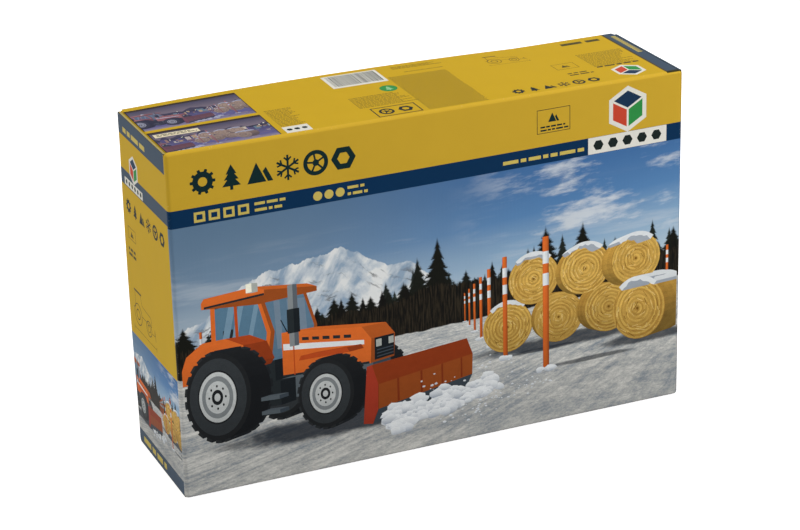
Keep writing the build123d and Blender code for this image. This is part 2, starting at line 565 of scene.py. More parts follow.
def dress_carton():
    """Gives each CAD piece the material of the first row that its name begins and ends like."""
    rows = (
        ("lid_front", "_panel", front_material()),
        ("lid_top", "_wall", wall_material("printed_top", "+z", top_design)),
        ("lid_bottom", "_wall", wall_material("printed_bottom", "-z", plain_design)),
        ("lid_left", "_wall", wall_material("printed_left_end", "-x", left_end_design)),
        ("lid_right", "_wall", wall_material("printed_right_end", "+x", right_end_design)),
        ("lid_top", "_tab", wall_material("printed_top_tabs", "tab", top_design)),
        ("lid_bottom", "_tab", wall_material("printed_bottom_tabs", "tab", plain_design)),
        ("tray", "_panel", bare_material("raw_panel", "y")),
        ("tray", "_end_wall", bare_material("raw_end_walls", "x")),
        ("tray", "_wall", bare_material("raw_long_walls", "z")),
        ("tray", "_tab", bare_material("raw_tabs", "")),
    )
    for name, piece in nodes.items():
        fitting = (made for start, end, made in rows if name.startswith(start) and name.endswith(end))
        piece.data.materials.clear()
        piece.data.materials.append(next(fitting))


def add_object(name, data):
    made = bpy.data.objects.new(name, data)
    bpy.context.scene.collection.objects.link(made)
    return made


# How rough the printed things look: a shape's grain
FLAT = 0.0
PAINTED = 0.14
TYRE_GRAIN = 0.4
STRAW_GRAIN = 0.62
SNOW_GRAIN = 0.1
PLOUGHED_GRAIN = 0.22
DUSK_GRAIN = 0.25


class Sheet:
    """Flat shapes printed over each other, x to the right and y down, in millimetres.

    A later shape covers an earlier one. The first shape may be the clip: nothing outside it is kept.
    bend moves each corner of the shapes that follow the clip.
    """

    def __init__(self, clip=None, bend=None):
        self.shapes = []
        self.bend = bend or (lambda x, y: (x, y))
        self.grain = FLAT
        self.clipped = clip is not None
        if self.clipped:
            self.polygon(clip, None)

    def polygon(self, points, colour):
        """colour is one colour, or a function that gives the colour at x, y.

        A shape keeps the sheet's grain of that moment: 0 for flat ink, up to 1 for rough straw.
        """
        self.shapes.append(([self.bend(*point) for point in points], colour, self.grain))

    def box(self, left, top, right, bottom, colour):
        self.polygon(rectangle(left, top, right, bottom), colour)

    def disc(self, x, y, radius, colour, sides=40):
        self.polygon(ring_points(x, y, radius, sides), colour)

    def ring(self, x, y, outer, inner, colour, sides=40):
        """Two half rings, so that what lies inside shows."""
        for start in (0, sides // 2):
            around = [2 * math.pi * (start + k) / sides for k in range(sides // 2 + 1)]
            arc = [polar(x, y, outer, turn) for turn in around]
            self.polygon(arc + [polar(x, y, inner, turn) for turn in around[::-1]], colour)

    def stroke(self, points, width, colour):
        for (ax, ay), (bx, by) in zip(points, points[1:]):
            length = math.hypot(bx - ax, by - ay)
            nx, ny = (by - ay) / length * width / 2, (ax - bx) / length * width / 2
            corners = [(ax + nx, ay + ny), (bx + nx, by + ny), (bx - nx, by - ny), (ax - nx, ay - ny)]
            self.polygon(corners, colour)

    def frame(self, left, top, right, bottom, width, colour):
        """The outline of a box."""
        self.box(left, top, right, top + width, colour)
        self.box(left, bottom - width, right, bottom, colour)
        self.box(left, top + width, left + width, bottom - width, colour)
        self.box(right - width, top + width, right, bottom - width, colour)

    def triangles(self, guides):
        """Corners, and triangles with no overlaps, each with the last shape that covers it."""
        corners, edges = [], []
        for points in [*(shape[0] for shape in self.shapes), *guides]:
            first, count = len(corners), len(points)
            corners += [Vector(point) for point in points]
            edges += [(first + k, first + (k + 1) % count) for k in range(count)]
        made = delaunay_2d_cdt(corners, edges, [], 0, 1e-4)
        places, turned = made[0], made[2]
        middles = np.array(places)[np.array(turned)].mean(axis=1)
        shown = np.full(len(turned), -1)
        for k, (points, _, _) in enumerate(self.shapes):
            shown[covered(points, middles)] = k
        if self.clipped:
            shown[~covered(self.shapes[0][0], middles)] = 0
        kept = [(triangle, shape) for triangle, shape in zip(turned, shown.tolist())
                if shape >= int(self.clipped)]
        return places, kept

    def colour_at(self, shape, place):
        """The shape's colour at a place, and its grain as the fourth number."""
        _, colour, grain = self.shapes[shape]
        return [*(colour(*place) if callable(colour) else colour), grain]


def covered(points, places):
    """Which places lie inside a polygon."""
    x, y = places.T
    corners = np.array(points)
    low, high = corners.min(axis=0), corners.max(axis=0)
    near = np.flatnonzero((x > low[0]) & (x < high[0]) & (y > low[1]) & (y < high[1]))
    x, y = x[near], y[near]
    inside = np.zeros(len(near), bool)
    for (ax, ay), (bx, by) in zip(points, [*points[1:], points[0]]):
        if ay != by:
            inside ^= ((ay > y) != (by > y)) & (x < (bx - ax) * (y - ay) / (by - ay) + ax)
    result = np.zeros(len(places), bool)
    result[near[inside]] = True
    return result


# In millimetres: how high the ink lies on the board, from how far outside the board's outer face is
# looked for, and how far in from a cut
INK_LIFT = 0.03
PROBE_FROM = 20
PROBE_INSIDE = 0.4


def surface_tree(node):
    """Finds places on a CAD piece's surface."""
    mesh = nodes[node].data
    mesh.calc_loop_triangles()
    facets = [facet.vertices for facet in mesh.loop_triangles]
    return BVHTree.FromPolygons([vertex.co for vertex in mesh.vertices], facets)


class Side:
    """One printed side of the lid: where its sheets lie, seen from outside."""

    def __init__(self, node, slot, corner, right, down):
        self.slot = slot
        self.corner = Vector(corner) * MM
        self.right, self.down = Vector(right), Vector(down)
        self.out = self.down.cross(self.right)
        self.tree = surface_tree(node)
        self.bends = self.facet_edges(nodes[node].data)

    def flat(self, spot):
        """The place on the sheet above a point of the carton."""
        away = spot - self.corner
        return round(away.dot(self.right) / MM, 4), round(away.dot(self.down) / MM, 4)

    def facet_edges(self, mesh):
        """The edges of the outer facets as lines on the sheet. A sheet that is cut along them lies
        flat on every facet."""
        lines = set()
        for facet in mesh.polygons:
            if facet.normal.dot(self.out) > 0.5:
                places = [self.flat(mesh.vertices[k].co) for k in facet.vertices]
                lines |= {tuple(sorted(pair)) for pair in zip(places, [*places[1:], places[0]])}
        return sorted(line for line in lines if line[0] != line[1])

    def surface(self, place):
        """The point of the carton's surface under a place of the sheet, lifted by the ink."""
        flat = self.corner + (self.right * place[0] + self.down * place[1]) * MM
        hit = self.tree.ray_cast(flat + self.out * (PROBE_FROM * MM), -self.out)[0]
        return (hit if hit else flat) + self.out * INK_LIFT * MM

    def lay(self, sheet, name, material):
        """Makes the sheet's mesh on this side."""
        places, kept = sheet.triangles(self.bends)
        used = sorted({corner for triangle, _ in kept for corner in triangle})
        order = {corner: k for k, corner in enumerate(used)}
        turned = [[order[corner] for corner in triangle] for triangle, _ in kept]
        mesh = bpy.data.meshes.new(name)
        mesh.from_pydata([self.surface(places[corner]) for corner in used], [], turned)
        inks = mesh.color_attributes.new("ink", "FLOAT_COLOR", "CORNER")
        colours = []
        for triangle, shape in kept:
            for corner in triangle:
                colours += sheet.colour_at(shape, places[corner])
        inks.data.foreach_set("color", colours)
        if mesh.polygons[0].normal.dot(self.out) < 0:
            mesh.flip_normals()
        mesh.materials.append(material)
        piece = add_object(name, mesh)
        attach(piece, "lid")


class View:
    """A picture's perspective: draws solid pieces on a sheet, from the back to the front.

    The world is in metres: x to the right, y away from the eye, z up from the snow.
    """

    EYE = Vector((0, 0, 1.7))
    SPREAD = 456.0
    MIDDLE = 212.5
    LIGHT = Vector((-0.5, -0.62, 0.62)).normalized()
    SKY_TONES = (0.46, 0.50, 0.56)
    SUN_TONES = (0.74, 0.70, 0.62)

    def __init__(self, sheet, to_sheet, tint, fine=False):
        """fine adds what only the large picture is large enough to show."""
        self.sheet, self.to_sheet, self.tint, self.fine = sheet, to_sheet, tint, fine
        self.stand((0, 0), 0)

    def stand(self, place, heading):
        """Places the next pieces: x then runs along the heading, which turns towards the eye."""
        self.origin = Vector((*place, 0))
        self.forward = Vector((math.cos(heading), -math.sin(heading), 0))
        self.left = Vector((math.sin(heading), math.cos(heading), 0))

    def turned(self, x, y, z):
        return self.forward * x + self.left * y + Vector((0, 0, z))

    def shaded(self, colour, sun, height):
        """The colour under the sky and the sun. It darkens towards the snow."""
        near_snow = 0.62 + 0.42 * min(1.0, height / 1.8)
        return self.tint(tuple(c * (sky_tone + sun_tone * sun) * near_snow for c, sky_tone, sun_tone
                               in zip(colour, self.SKY_TONES, self.SUN_TONES)))

    def draw(self, points, normal, colour):
        """One flat face, if it looks towards the eye."""
        world = [self.origin + self.turned(*point) for point in points]
        normal = self.turned(*normal).normalized()
        if normal.dot(self.EYE - world[0]) <= 0:
            return
        places = []
        for p in world:
            across = self.MIDDLE + self.SPREAD * p.x / p.y
            places.append(self.to_sheet(across, HORIZON + self.SPREAD * (self.EYE.z - p.z) / p.y))
        sun = max(0.0, normal.dot(self.LIGHT))
        ends = [pick(zip(places, world), key=lambda pair: pair[0][1]) for pick in (min, max)]
        upper, lower = (self.shaded(colour, sun, spot.z) for _, spot in ends)
        top, bottom = (place[1] for place, _ in ends)
        reach = max(bottom - top, 1e-6)
        self.sheet.polygon(places, lambda _, y: mixed(upper, lower, (y - top) / reach))

    def prism(self, profile, right, left, colour, side_colour=None):
        """A profile in x and z, anticlockwise from the right, that spans from y = right to left."""
        for (ax, az), (bx, bz) in zip(profile, [*profile[1:], profile[0]]):
            corners = [(ax, right, az), (bx, right, bz), (bx, left, bz), (ax, left, az)]
            self.draw(corners, (bz - az, 0, ax - bx), side_colour or colour)
        for y, facing in ((right, -1), (left, 1)):
            self.draw([(x, y, z) for x, z in profile], (0, facing, 0), colour)

    def block(self, low, high, colour):
        self.prism(rectangle(low[0], low[2], high[0], high[2]), low[1], high[1], colour)

    def plate(self, profile, y, colour):
        """A flat shape on a right-hand side."""
        self.draw([(x, y, z) for x, z in profile], (0, -1, 0), colour)

    def front(self, lower, upper, right, left, colour, lean=0.0, slant=0.0):
        """A flat face that looks ahead. Its lower and upper edge are given as x and z, and slant is
        how much further left the upper one lies."""
        (ax, az), (bx, bz) = lower, upper
        corners = [(ax, right, az), (ax, left, az), (bx, left + slant, bz), (bx, right + slant, bz)]
        self.draw(corners, (1, 0, lean), colour)

    def disc(self, x, z, y, radius, colour, sides=36):
        self.plate(ring_points(x, z, radius, sides), y, colour)

    def lump(self, place, radius, draw, sides=9):
        """A ragged lump of snow that faces the eye, bright above and grey below."""
        middle = self.origin + self.turned(*place)
        scale = self.SPREAD / middle.y
        across = self.MIDDLE + scale * middle.x
        height = HORIZON + scale * (self.EYE.z - middle.z)
        points = []
        for k in range(sides):
            away = scale * radius * draw.uniform(0.72, 1.2)
            points.append(self.to_sheet(*polar(across, height, away, 2 * math.pi * k / sides, 0.66)))
        top, bottom = (pick(y for _, y in points) for pick in (min, max))
        light, shade = self.tint(SNOW), self.tint(mixed(SNOW_SHADE, SNOW, draw.random() * 0.4))

        def tone(_, y):
            return mixed(light, shade, max(0.0, (y - top) / (bottom - top)) ** 1.5)

        self.sheet.polygon(points, tone)

    def wheel(self, x, radius, right, left):
        """A wheel with lugs, a silver rim and a dark hub, seen from its right-hand side."""
        self.sheet.grain = TYRE_GRAIN
        for k in range(LUGS):
            start, end = (2 * math.pi * (k + part) / LUGS for part in (0.0, 0.62))
            outer = [polar(x, radius, radius * 1.035, turn) for turn in (start, end)]
            inner = [polar(x, radius, radius * 0.93, turn) for turn in (end, start)]
            self.prism(outer + inner, right, left, LUG)
        self.prism(ring_points(x, radius, radius * 0.97, 36), right, left, TYRE)
        for share, colour in WHEEL_DISCS:
            self.disc(x, radius, right - 0.01, radius * share, colour)
        for bolt_x, bolt_z in ring_points(x, radius, radius * 0.25, 8):
            self.disc(bolt_x, bolt_z, right - 0.01, radius * 0.03, TYRE, 8)
        self.sheet.grain = PAINTED


ORANGE = ink(0xD8692A)
DEEP_ORANGE = ink(0xB94A1E)
RED = ink(0xA93A26)
STRAW = ink(0xC79A45)
STRAW_END = ink(0xDDB45A)
STRAW_LIGHT = ink(0xEACB80)
STRAW_DUSK = ink(0xAB7E36)
STRAW_SHADE = ink(0x80591F)
SNOW_SHADE = ink(0x8792A0)
TYRE = ink(0x1E2022)
TYRE_WALL = ink(0x34383B)
LUG = ink(0x2A2D2F)
RIM = ink(0xC9CCCB)
RIM_SHADE = ink(0x84898B)
GLASS = ink(0x56788F)
GLASS_FRONT = ink(0x7FA0B4)
GLASS_SHINE = ink(0x7391A6)
STEEL = ink(0x5B646A)
GRILLE = ink(0x22282B)
LAMP = ink(0xF2EFDB)
SNOW = ink(0xDFE2E3)

# A wheel's discs from its tread to its hub: share of its radius, and colour
WHEEL_DISCS = (
    (0.86, TYRE_WALL), (0.6, TYRE), (0.56, RIM), (0.47, RIM_SHADE), (0.36, RIM), (0.17, TYRE),
    (0.09, RIM),
)
LUGS = 22

# Bands of a marker pole, from the snow up: where one ends, in metres, and its colour
POLE_BANDS = ((1.75, ORANGE), (2.0, SNOW), (2.2, ORANGE), (2.45, SNOW), (2.75, ORANGE))
POLE_RADIUS = 0.065

# Marker poles from far to near: x and y on the snow, in metres
FAR_POLES = (
    (2.55, 52), (2.3, 40), (2.08, 31), (1.9, 24), (1.8, 19), (13.2, 30), (-13.5, 34), (-10.6, 25),
)
NEAR_POLES = ((1.82, 14.6), (2.25, 11.1))


def draw_pole(view, x, y):
    """A round marker pole with two white bands and a collar of snow."""
    view.stand((x, y), 0.35)
    low = 0.0
    for high, colour in POLE_BANDS:
        for k in range(6):
            start, end = (math.radians(30 * side - 180) for side in (k, k + 1))
            (ax, ay), (bx, by) = (polar(0, 0, POLE_RADIUS, turn) for turn in (start, end))
            corners = [(ax, ay, low), (bx, by, low), (bx, by, high), (ax, ay, high)]
            view.draw(corners, (*polar(0, 0, 1, (start + end) / 2), 0), colour)
        low = high
    draw = random.Random(x)
    for _ in range(5):
        view.lump((draw.uniform(-0.16, 0.16), -0.1, 0.02), draw.uniform(0.07, 0.13), draw)


# Straw bales, in metres: where the stack's first bale and the one that rolled off lie on the snow,
# the distance between neighbours, and how much higher and nearer the upper row is
BALE_RADIUS = 0.75
BALE_LENGTH = 1.15
STACK_PLACE = (2.15, 16.6)
LOOSE_PLACE = (5.35, 13.1)
BALE_PITCH = 1.54
ROW_RISE = 1.29
ROW_NEARER = 0.2


def draw_stalks(view, height, face, draw):
    """Loose stalks on a bale's wound end, most of them along its rings."""
    for _ in range(70):
        away = BALE_RADIUS * 0.96 * math.sqrt(draw.random())
        around = draw.uniform(0, 2 * math.pi)
        heading = around + math.pi / 2 + draw.uniform(-0.5, 0.5)
        middle = Vector(polar(0, height, away, around))
        along = Vector(polar(0, 0, 1, heading)) * draw.uniform(0.03, 0.11)
        wide = Vector((-along.y, along.x)).normalized() * draw.uniform(0.005, 0.009)
        ends = (middle - along, middle + along)
        stalk = [ends[0] - wide, ends[1] - wide, ends[1] + wide, ends[0] + wide]
        tone = draw.choice((STRAW_LIGHT, STRAW_LIGHT, STRAW_DUSK, STRAW_SHADE))
        view.plate(stalk, face, tone)


def draw_snow_cap(view, height, near, far, draw):
    """Snow that lies on a bale and hangs a little over its wound end."""
    view.sheet.grain = SNOW_GRAIN
    turns = [math.radians(48 + 7 * k) for k in range(13)]
    outer = [polar(0, height, BALE_RADIUS * 1.055, turn) for turn in turns]
    inner = [polar(0, height, BALE_RADIUS * draw.uniform(0.86, 0.96), turn) for turn in turns]
    view.prism(outer + inner[::-1], near - 0.03, far + 0.02, SNOW)


def draw_bale(view, x, y, height, turn, snowy=True):
    """A round straw bale: net round its side, and rings and stalks on its wound end."""
    draw = random.Random(100 * x + height)
    near, far = -BALE_LENGTH / 2, BALE_LENGTH / 2
    view.stand((x, y), turn)
    view.sheet.grain = STRAW_GRAIN
    outline = ring_points(0, height, BALE_RADIUS, 30)
    nets, rings = (7, 14) if view.fine else (1, 5)
    for k in range(nets):
        behind = far - BALE_LENGTH * k / nets
        tone = mixed(STRAW, STRAW_DUSK, draw.uniform(0.0, 0.8))
        view.prism(outline, behind - BALE_LENGTH / nets, behind, STRAW_DUSK, tone)
    face = near - 0.01
    for k in range(rings):
        share = 0.985 * (1 - k / (rings + 0.5))
        tone = mixed(STRAW_END, STRAW_DUSK, draw.uniform(0.0, 0.35) + 0.45 * (k % 2))
        view.disc(draw.uniform(-0.01, 0.01), height, face, BALE_RADIUS * share, tone, 26)
    view.disc(0, height, face, BALE_RADIUS * 0.05, STRAW_SHADE, 10)
    if view.fine:
        draw_stalks(view, height, face, draw)
    if snowy:
        draw_snow_cap(view, height, near, far, draw)
    view.sheet.grain = PAINTED


def draw_bales(view):
    """Two rows of bales, the upper ones in the hollows of the lower ones, and one that rolled off."""
    first_x, first_y = STACK_PLACE
    for level, count in enumerate((4, 3)):
        y, height = first_y - ROW_NEARER * level, BALE_RADIUS + ROW_RISE * level
        for k in range(count):
            x = first_x + level * BALE_PITCH / 2 + BALE_PITCH * k
            snowy = level == 1 or k in (0, count - 1)
            draw_bale(view, x, y, height, 0.14 - 0.05 * k, snowy)
    draw_bale(view, *LOOSE_PLACE, BALE_RADIUS, 0.95)


# The tractor's place on the snow, its wheels (x of the axle, and radius) and its profiles, which run
# anticlockwise, as x and z in metres
TRACTOR_PLACE = (-3.75, 11.5)
TRACTOR_HEADING = math.radians(27)
REAR_WHEEL = (0.0, 0.86)
FRONT_WHEEL = (2.4, 0.62)
CAB = [(-0.52, 1.35), (0.88, 1.35), (0.98, 1.9), (0.72, 2.62), (-0.48, 2.62)]
ROOF = [(-0.68, 2.6), (0.95, 2.6), (0.95, 2.7), (0.7, 2.8), (-0.6, 2.8), (-0.68, 2.72)]
HOOD = [(1.0, 0.98), (3.02, 0.98), (3.05, 1.42), (2.85, 1.66), (1.2, 1.84), (1.0, 1.84)]
CAB_POST = [(0.8, 1.35), (0.9, 1.35), (1.0, 1.9), (0.75, 2.62), (0.66, 2.62), (0.9, 1.9)]
FENDER = [
    (0.9, 1.4), (0.72, 1.75), (0.3, 1.93), (-0.3, 1.93), (-0.75, 1.72), (-0.98, 1.3), (-1.0, 1.15),
    (0.8, 1.3),
]
MUDGUARD = [(1.85, 1.28), (2.95, 1.28), (2.9, 1.36), (1.9, 1.36)]
BLADE = [(-0.1, 0.06), (0.12, 0.06), (0.26, 0.3), (0.28, 0.7), (0.14, 1.02), (0.02, 1.0)]

# Half widths of the cab, its roof, the hood and the blade, and the sides on which the cab's seat,
# shine, seals and posts are drawn, one just outside the other
CAB_HALF = 0.66
ROOF_HALF = 0.74
HOOD_HALF = 0.4
BLADE_HALF = 1.25
SEAT_SIDE = -0.662
SHINE_SIDE = -0.663
SEAL_SIDE = -0.664
POST_SIDE = -0.67

# The inner and the outer side of the tyres, from the tractor's middle
REAR_TYRE = (0.56, 1.06)
FRONT_TYRE = (0.5, 0.9)


def draw_cab(view):
    """The cab's glass, its posts, a seat behind the glass and the roof."""
    view.prism(CAB, -CAB_HALF, CAB_HALF, GLASS, GLASS_FRONT)
    view.plate([(-0.25, 1.4), (0.1, 1.4), (0.05, 2.1), (-0.22, 2.1)], SEAT_SIDE, GRILLE)
    view.plate([(0.35, 1.4), (0.55, 1.4), (0.5, 1.85), (0.42, 1.85)], SEAT_SIDE, GRILLE)
    for low, high in ((-0.38, -0.2), (-0.12, 0.02), (0.3, 0.42)):
        shine = [(low, 1.5), (high, 1.5), (high + 0.34, 2.56), (low + 0.34, 2.56)]
        view.plate(shine, SHINE_SIDE, GLASS_SHINE)
    view.plate([(-0.5, 1.46), (0.86, 1.46), (0.88, 1.5), (-0.5, 1.5)], SEAL_SIDE, GRILLE)
    view.plate([(-0.5, 2.56), (0.7, 2.56), (0.68, 2.6), (-0.5, 2.6)], SEAL_SIDE, GRILLE)
    view.plate([(-0.55, 1.35), (-0.43, 1.35), (-0.4, 2.62), (-0.52, 2.62)], POST_SIDE, ORANGE)
    view.plate(CAB_POST, POST_SIDE, ORANGE)
    view.plate([(0.12, 1.35), (0.2, 1.35), (0.18, 2.62), (0.1, 2.62)], POST_SIDE, DEEP_ORANGE)
    view.plate([(-0.52, 1.35), (0.88, 1.35), (0.9, 1.46), (-0.52, 1.46)], POST_SIDE, ORANGE)
    for y in (-CAB_HALF, CAB_HALF - 0.1):
        view.front((0.89, 1.4), (0.99, 1.9), y, y + 0.1, ORANGE, lean=0.1)
        view.front((0.99, 1.9), (0.73, 2.62), y, y + 0.1, ORANGE, lean=0.3)
    bright = mixed(GLASS_FRONT, SNOW, 0.3)
    for y, wide in ((-0.46, 0.16), (-0.1, 0.1), (0.2, 0.22)):
        view.front((0.945, 1.55), (0.8, 2.5), y, y + wide, bright, lean=0.25, slant=0.1)
    wiper = [(0.97, 0.02, 1.45), (0.97, 0.06, 1.45), (0.88, -0.26, 2.1), (0.88, -0.29, 2.1)]
    view.draw(wiper, (1, 0, 0.2), GRILLE)
    view.prism(ROOF, -ROOF_HALF, ROOF_HALF, ORANGE)
    view.plate(rectangle(-0.6, 2.6, 0.95, 2.64), -ROOF_HALF - 0.005, GRILLE)
    view.block((-0.2, -0.06, 2.8), (-0.04, 0.1, 2.98), LAMP)


def draw_hood(view):
    """The bonnet with its vents, grille and headlamps."""
    view.prism(HOOD, -HOOD_HALF, HOOD_HALF, ORANGE)
    side = -HOOD_HALF - 0.01
    view.plate([(1.04, 1.5), (2.9, 1.34), (2.9, 1.42), (1.04, 1.62)], side, SNOW)
    view.plate(rectangle(1.0, 0.98, 3.0, 1.02), side, GRILLE)
    view.plate(rectangle(1.28, 1.0, 1.31, 1.8), side, DEEP_ORANGE)
    for k in range(5):
        x = 1.5 + 0.24 * k
        z = 1.76 - 0.11 * (x - 1.2)
        vent = [(x, z - 0.1), (x + 0.16, z - 0.12), (x + 0.16, z - 0.06), (x, z - 0.04)]
        view.plate(vent, side, GRILLE)
    view.front((3.06, 1.02), (3.07, 1.42), -0.33, 0.33, GRILLE)
    for k in range(3):
        z = 1.06 + 0.06 * k
        view.front((3.08, z), (3.08, z + 0.02), -0.28, 0.28, STEEL)
    for y in (-0.3, 0.12):
        view.front((3.08, 1.25), (3.08, 1.38), y, y + 0.18, LAMP)


def draw_blade(view):
    """The plough blade, turned a little across the lane."""
    view.block((2.9, -0.25, 0.4), (3.5, 0.25, 0.6), STEEL)
    ahead = Vector(TRACTOR_PLACE) + 3.78 * Vector((math.cos(TRACTOR_HEADING), -math.sin(TRACTOR_HEADING)))
    view.stand(ahead, TRACTOR_HEADING + math.radians(14))
    view.prism(BLADE, -BLADE_HALF, BLADE_HALF, RED, DEEP_ORANGE)
    view.front((0.13, 0.06), (0.27, 0.3), -BLADE_HALF, BLADE_HALF, STEEL)
    view.front((0.27, 0.3), (0.29, 0.7), -BLADE_HALF, BLADE_HALF, ORANGE)
    view.front((0.29, 0.7), (0.15, 1.02), -BLADE_HALF, BLADE_HALF, DEEP_ORANGE, lean=0.2)
    for y in (-0.85, -0.28, 0.28, 0.85):
        view.front((0.3, 0.32), (0.3, 0.7), y, y + 0.05, DEEP_ORANGE)


def draw_ploughed_snow(view):
    """Snow that rolls ahead of the blade, from its far end to its near end, and its spray."""
    draw = random.Random(17)
    view.sheet.grain = PLOUGHED_GRAIN
    lumps, spray = (150, 120) if view.fine else (30, 0)
    for k in range(lumps):
        y = 1.45 - 2.9 * k / lumps
        out = draw.uniform(0.3, 0.95)
        pile = 0.34 * max(0.0, 1.0 - (out - 0.3) / 0.65)
        view.lump((out, y, draw.uniform(0.0, pile)), draw.uniform(0.05, 0.15), draw)
    for _ in range(spray):
        out = draw.uniform(0.8, 2.1)
        height = 0.75 * math.sin(min(out, 1.5) * 2.0) * draw.random()
        view.lump((out, draw.uniform(-1.3, 1.6), max(0.0, height)), draw.uniform(0.008, 0.03), draw, 5)
    view.sheet.grain = PAINTED


def draw_tractor(view):
    """An orange tractor with a plough blade, which clears the lane."""
    view.stand(TRACTOR_PLACE, TRACTOR_HEADING)
    view.wheel(*REAR_WHEEL, *REAR_TYRE)
    view.wheel(*FRONT_WHEEL, *FRONT_TYRE)
    view.block((-0.5, -0.3, 0.55), (3.0, 0.3, 1.0), STEEL)
    view.block((0.55, -0.75, 0.5), (1.25, -0.35, 0.95), GRILLE)
    view.prism(FENDER, 0.5, 1.08, DEEP_ORANGE)
    view.block((-0.55, -0.5, 0.95), (0.9, 0.5, 1.4), GRILLE)
    draw_cab(view)
    draw_hood(view)
    view.block((1.3, -0.52, 1.55), (1.42, -0.4, 2.7), RIM_SHADE)
    view.block((1.28, -0.54, 1.8), (1.44, -0.38, 2.25), GRILLE)
    view.prism(FENDER, -1.08, -0.5, ORANGE, DEEP_ORANGE)
    view.wheel(*REAR_WHEEL, -REAR_TYRE[1], -REAR_TYRE[0])
    for z in (0.35, 0.62):
        view.block((0.75, -0.74, z), (1.2, -0.5, z + 0.07), STEEL)
    view.prism(MUDGUARD, -0.92, -0.5, DEEP_ORANGE)
    view.wheel(*FRONT_WHEEL, -FRONT_TYRE[1], -FRONT_TYRE[0])
    draw_blade(view)
    draw_ploughed_snow(view)


def draw_scene(view):
    """The picture's subject: a tractor that clears a lane past a stack of straw bales."""
    view.sheet.grain = PAINTED
    for x, y in FAR_POLES:
        draw_pole(view, x, y)
    draw_bales(view)
    draw_pole(view, *NEAR_POLES[0])
    draw_tractor(view)
    draw_pole(view, *NEAR_POLES[1])


NAVY_MARK = ink(0x17304C)
DARK_MARK = ink(0x17211F)
TEXT_MARK = ink(0x4A431C)
YELLOW_MARK = ink(0xC9B45C)
EMBLEM_RED = ink(0xC2452F)
EMBLEM_GREEN = ink(0x2F8A44)
EMBLEM_WHITE = ink(0xDEDCD2)
PALE_GREEN = ink(0x8CC08E)


def words(sheet, left, top, right, rows, pitch, height, colour, seed, ragged=0.28):
    """Rows of small bars that stand for running text, ragged at the right."""
    draw = random.Random(seed)
    for row in range(rows):
        y = top + row * pitch
        end = right - draw.uniform(0.0, ragged) * (right - left)
        x = left
        while x < end - height:
            wide = min(height * draw.uniform(1.2, 4.6), end - x)
            sheet.box(x, y, x + wide, y + height, colour)
            x += wide + height * 0.7


def glyph_cog(sheet, x, y, r, colour):
    sheet.ring(x, y, r * 0.8, r * 0.36, colour)
    tooth = [(0.76, -0.17), (1.0, -0.11), (1.0, 0.11), (0.76, 0.17)]
    for k in range(10):
        middle = 2 * math.pi * k / 10
        sheet.polygon([polar(x, y, r * share, middle + turn) for share, turn in tooth], colour)


def glyph_conifer(sheet, x, y, r, colour):
    for top, foot, half in ((-1.0, -0.25, 0.42), (-0.6, 0.2, 0.58), (-0.2, 0.7, 0.74)):
        sheet.polygon([(x, y + r * top), (x + r * half, y + r * foot), (x - r * half, y + r * foot)], colour)
    sheet.box(x - r * 0.12, y + r * 0.7, x + r * 0.12, y + r, colour)


def glyph_peaks(sheet, x, y, r, colour):
    for peak in (
        [(-1, 0.8), (-0.25, -0.8), (0.5, 0.8)],
        [(0.62, 0.8), (0.24, -0.05), (0.5, -0.35), (1.05, 0.8)],
    ):
        sheet.polygon([(x + r * right, y + r * down) for right, down in peak], colour)


def glyph_snow_crystal(sheet, x, y, r, colour):
    middle = Vector((x, y))
    for k in range(6):
        out = Vector(polar(0, 0, 1, math.pi / 6 + k * math.pi / 3))
        across = Vector((-out.y, out.x))
        sheet.stroke([middle, middle + out * r], r * 0.17, colour)
        for side in (-1, 1):
            twig = [middle + out * r * 0.55, middle + out * r * 0.82 + across * r * 0.28 * side]
            sheet.stroke(twig, r * 0.13, colour)


def glyph_wheel(sheet, x, y, r, colour):
    sheet.ring(x, y, r, r * 0.68, colour)
    sheet.disc(x, y, r * 0.26, colour)
    middle = Vector((x, y))
    for k in range(5):
        spoke = Vector(polar(0, 0, 1, 2 * math.pi * k / 5 - 0.5))
        sheet.stroke([middle + spoke * r * 0.2, middle + spoke * r * 0.72], r * 0.15, colour)


def glyph_nut(sheet, x, y, r, colour):
    sheet.ring(x, y, r, r * 0.5, colour, 6)


GLYPHS = (glyph_cog, glyph_conifer, glyph_peaks, glyph_snow_crystal, glyph_wheel, glyph_nut)


def glyph_row(sheet, left, middle, right, r, colour):
    """Six plain signs in a row, where a carton of this kind has its largest line."""
    pitch = (right - left - 2 * r) / (len(GLYPHS) - 1)
    for k, glyph in enumerate(GLYPHS):
        glyph(sheet, left + r + k * pitch, middle, r, colour)


def emblem(sheet, x, y, r, upside=1):
    """A plain cube in three colours on a white hexagon."""
    def corner(k, share):
        return polar(x, y, r * share, math.radians(60 * k - 90), upside)

    sheet.polygon([corner(k, 1.0) for k in range(6)], EMBLEM_WHITE)
    for first, colour in ((5, NAVY_MARK), (1, EMBLEM_GREEN), (3, EMBLEM_RED)):
        face = [(x, y), *(corner(first + k, 0.84) for k in range(3))]
        middle = [sum(values) / 4 for values in zip(*face)]
        sheet.polygon([mixed(middle, point, 0.88) for point in face], colour)


def label(sheet, left, top, right, bottom, signs=5):
    """A white label with a plain row of dark hexagons."""
    sheet.box(left, top, right, bottom, EMBLEM_WHITE)
    pitch = (right - left) / (signs + 0.4)
    r = min((bottom - top) * 0.33, pitch * 0.4)
    for k in range(signs):
        sheet.disc(left + pitch * (k + 0.7), (top + bottom) / 2, r, DARK_MARK, 6)


